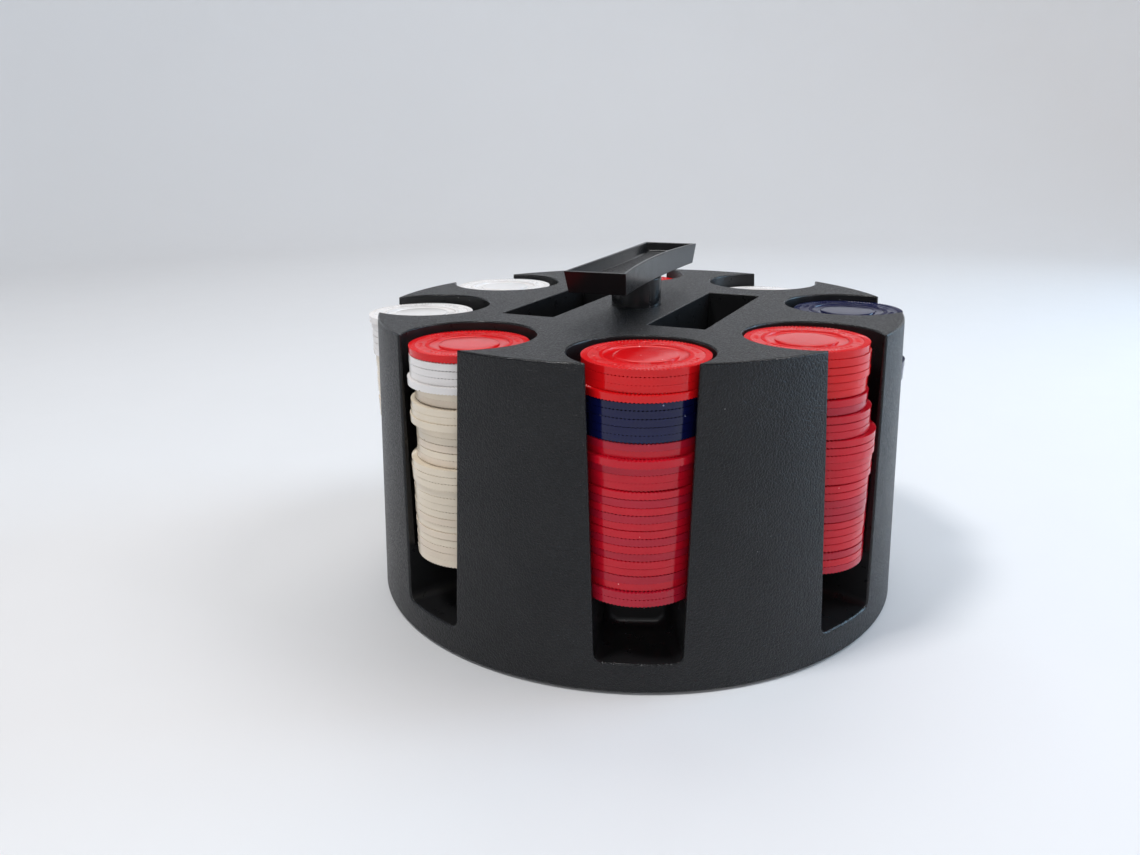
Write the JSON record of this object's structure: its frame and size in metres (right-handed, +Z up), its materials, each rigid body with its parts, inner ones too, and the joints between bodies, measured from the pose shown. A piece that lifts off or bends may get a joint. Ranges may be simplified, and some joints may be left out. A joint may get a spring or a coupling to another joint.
{
  "type": "poker chip carousel",
  "caption": "Revolving round chip holder: open-sided wells full of chips, two card pockets and a tray-shaped centre handle on a fixed spindle and base.",
  "frame": {"origin": "on the table under the centre of the drum, on the axis that the drum turns about", "axes": "+Z up along the drum's axis; -Y towards the front well, the one with red and blue chips; +X to the right seen from the front"},
  "size_m": [0.1963, 0.1928, 0.1193],
  "materials": {
    "drum_plastic": "black moulded plastic with a fine leather grain and a soft sheen",
    "handle_plastic": "black moulded plastic, smooth satin",
    "spindle_plastic": "black plastic, polished",
    "base_plastic": "black moulded plastic, matte",
    "foot_rubber": "black rubber, matte",
    "bearing_nylon": "natural nylon, satin",
    "screw_steel": "zinc plated",
    "chip_red": "glossy moulded styrene, lightly scuffed",
    "chip_blue": "glossy moulded styrene, lightly scuffed",
    "chip_white": "glossy moulded styrene, slightly yellowed"
  },
  "bodies": {
    "base": {"base_plate": "base_plastic", "foot_1": "foot_rubber", "foot_2": "foot_rubber", "foot_3": "foot_rubber", "foot_4": "foot_rubber", "spindle": "spindle_plastic", "base_screw": "screw_steel", "base_screw_washer": "screw_steel", "thrust_washer": "bearing_nylon", "handle_tray": "handle_plastic"},
    "drum": {"drum_front": "drum_plastic", "drum_front_right": "drum_plastic", "drum_right": "drum_plastic", "drum_rear_right": "drum_plastic", "drum_rear": "drum_plastic", "drum_rear_left": "drum_plastic", "drum_left": "drum_plastic", "drum_front_left": "drum_plastic", "lower_bush": "bearing_nylon"},
    "stack_front": {"chips_front_1": "chip_red", "chips_front_2": "chip_red", "chips_front_3": "chip_blue", "chips_front_4": "chip_red", "chips_front_5": "chip_red", "chips_front_6": "chip_red", "chips_front_7": "chip_red", "chips_front_8": "chip_red"},
    "stack_front_right": {"chips_front_right_1": "chip_red", "chips_front_right_2": "chip_red", "chips_front_right_3": "chip_red", "chips_front_right_4": "chip_red", "chips_front_right_5": "chip_red", "chips_front_right_6": "chip_red", "chips_front_right_7": "chip_red", "chips_front_right_8": "chip_red"},
    "stack_right": {"chips_right_1": "chip_blue", "chips_right_2": "chip_blue", "chips_right_3": "chip_blue", "chips_right_4": "chip_blue", "chips_right_5": "chip_blue"},
    "stack_rear_right": {"chips_rear_right_1": "chip_white", "chips_rear_right_2": "chip_white", "chips_rear_right_3": "chip_white"},
    "stack_rear": {"chips_rear_1": "chip_red", "chips_rear_2": "chip_red"},
    "stack_rear_left": {"chips_rear_left_1": "chip_white", "chips_rear_left_2": "chip_white"},
    "stack_left": {"chips_left_1": "chip_white", "chips_left_2": "chip_white", "chips_left_3": "chip_white", "chips_left_4": "chip_white"},
    "stack_front_left": {"chips_front_left_1": "chip_red", "chips_front_left_2": "chip_white", "chips_front_left_3": "chip_white", "chips_front_left_4": "chip_white", "chips_front_left_5": "chip_white", "chips_front_left_6": "chip_white", "chips_front_left_7": "chip_white", "chips_front_left_8": "chip_white", "chips_front_left_9": "chip_white"}
  },
  "joints": [
    {"name": "drum_spin", "type": "hinge", "parent": "base", "child": "drum", "pos_m": [0, 0, 0.05], "axis": [0, 0, 1], "continuous": true},
    {"name": "front_stack_lift", "type": "slide", "parent": "drum", "child": "stack_front", "axis": [0, 0, 1], "range_m": [0, 0.08]},
    {"name": "front_right_stack_lift", "type": "slide", "parent": "drum", "child": "stack_front_right", "axis": [0, 0, 1], "range_m": [0, 0.08]},
    {"name": "right_stack_lift", "type": "slide", "parent": "drum", "child": "stack_right", "axis": [0, 0, 1], "range_m": [0, 0.08]},
    {"name": "rear_right_stack_lift", "type": "slide", "parent": "drum", "child": "stack_rear_right", "axis": [0, 0, 1], "range_m": [0, 0.08]},
    {"name": "rear_stack_lift", "type": "slide", "parent": "drum", "child": "stack_rear", "axis": [0, 0, 1], "range_m": [0, 0.08]},
    {"name": "rear_left_stack_lift", "type": "slide", "parent": "drum", "child": "stack_rear_left", "axis": [0, 0, 1], "range_m": [0, 0.08]},
    {"name": "left_stack_lift", "type": "slide", "parent": "drum", "child": "stack_left", "axis": [0, 0, 1], "range_m": [0, 0.08]},
    {"name": "front_left_stack_lift", "type": "slide", "parent": "drum", "child": "stack_front_left", "axis": [0, 0, 1], "range_m": [0, 0.08]}
  ]
}
